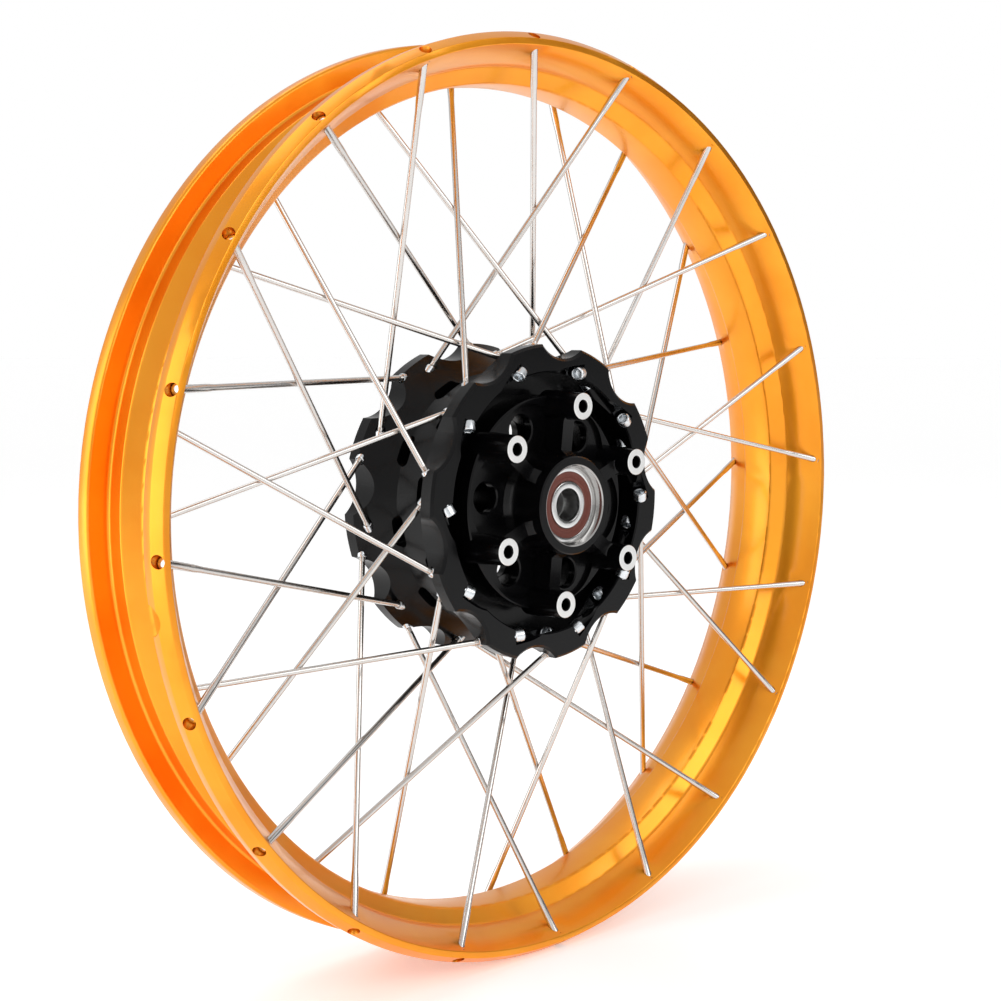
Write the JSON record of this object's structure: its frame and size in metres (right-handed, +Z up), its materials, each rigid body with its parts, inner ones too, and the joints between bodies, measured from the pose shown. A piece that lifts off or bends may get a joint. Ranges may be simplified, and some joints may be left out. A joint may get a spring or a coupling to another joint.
{
  "type": "motorcycle spoked wheel",
  "caption": "Tubeless spoked front wheel: gold rim whose lips carry straight crossing spokes, black lobed hub with disc bosses both sides, sealed bearings on a spacer tube.",
  "frame": {"origin": "centre of the wheel, on the axle's axis and in the rim's middle plane", "axes": "+Y along the axle towards the right side, +Z up, +X forward or back in the wheel's plane"},
  "size_m": [0.563, 0.123, 0.563],
  "materials": {
    "gold_anodised": "gold anodised, fine satin",
    "black_anodised": "black anodised, satin, machined faces bare",
    "stainless": "drawn stainless steel",
    "zinc_plate": "bright zinc plate",
    "bearing_steel": "ground bearing steel",
    "ball_steel": "polished bearing steel",
    "cage_polymer": "moulded polyamide",
    "seal_rubber": "moulded red-brown rubber",
    "spacer_aluminium": "turned, bare"
  },
  "bodies": {
    "axle_sleeve": {"left_bearing_inner_ring": "bearing_steel", "right_bearing_inner_ring": "bearing_steel", "axle_spacer": "spacer_aluminium"},
    "wheel": {"rim": "gold_anodised", "hub": "black_anodised", "spokes_left_flange_trailing": "stainless", "spokes_left_flange_leading": "stainless", "spokes_right_flange_trailing": "stainless", "spokes_right_flange_leading": "stainless", "nipples_left_flange_trailing": "zinc_plate", "nipples_left_flange_leading": "zinc_plate", "nipples_right_flange_trailing": "zinc_plate", "nipples_right_flange_leading": "zinc_plate", "left_bearing_outer_ring": "bearing_steel", "left_bearing_outer_seal": "seal_rubber", "left_bearing_inner_seal": "seal_rubber", "right_bearing_outer_ring": "bearing_steel", "right_bearing_outer_seal": "seal_rubber", "right_bearing_inner_seal": "seal_rubber"},
    "left_cage": {"left_bearing_balls": "ball_steel", "left_bearing_cage": "cage_polymer"},
    "right_cage": {"right_bearing_balls": "ball_steel", "right_bearing_cage": "cage_polymer"}
  },
  "joints": [
    {"name": "wheel_spin", "type": "hinge", "parent": "axle_sleeve", "child": "wheel", "pos_m": [0, 0, 0], "axis": [0, 1, 0], "continuous": true},
    {"name": "left_cage_spin", "type": "hinge", "parent": "axle_sleeve", "child": "left_cage", "pos_m": [0, -0.0486, 0], "axis": [0, 1, 0], "continuous": true},
    {"name": "right_cage_spin", "type": "hinge", "parent": "axle_sleeve", "child": "right_cage", "pos_m": [0, 0.0486, 0], "axis": [0, 1, 0], "continuous": true}
  ],
  "couplings": [
    {"joint": "left_cage_spin", "follows": "wheel_spin", "ratio": 0.6185},
    {"joint": "right_cage_spin", "follows": "wheel_spin", "ratio": 0.6185}
  ]
}
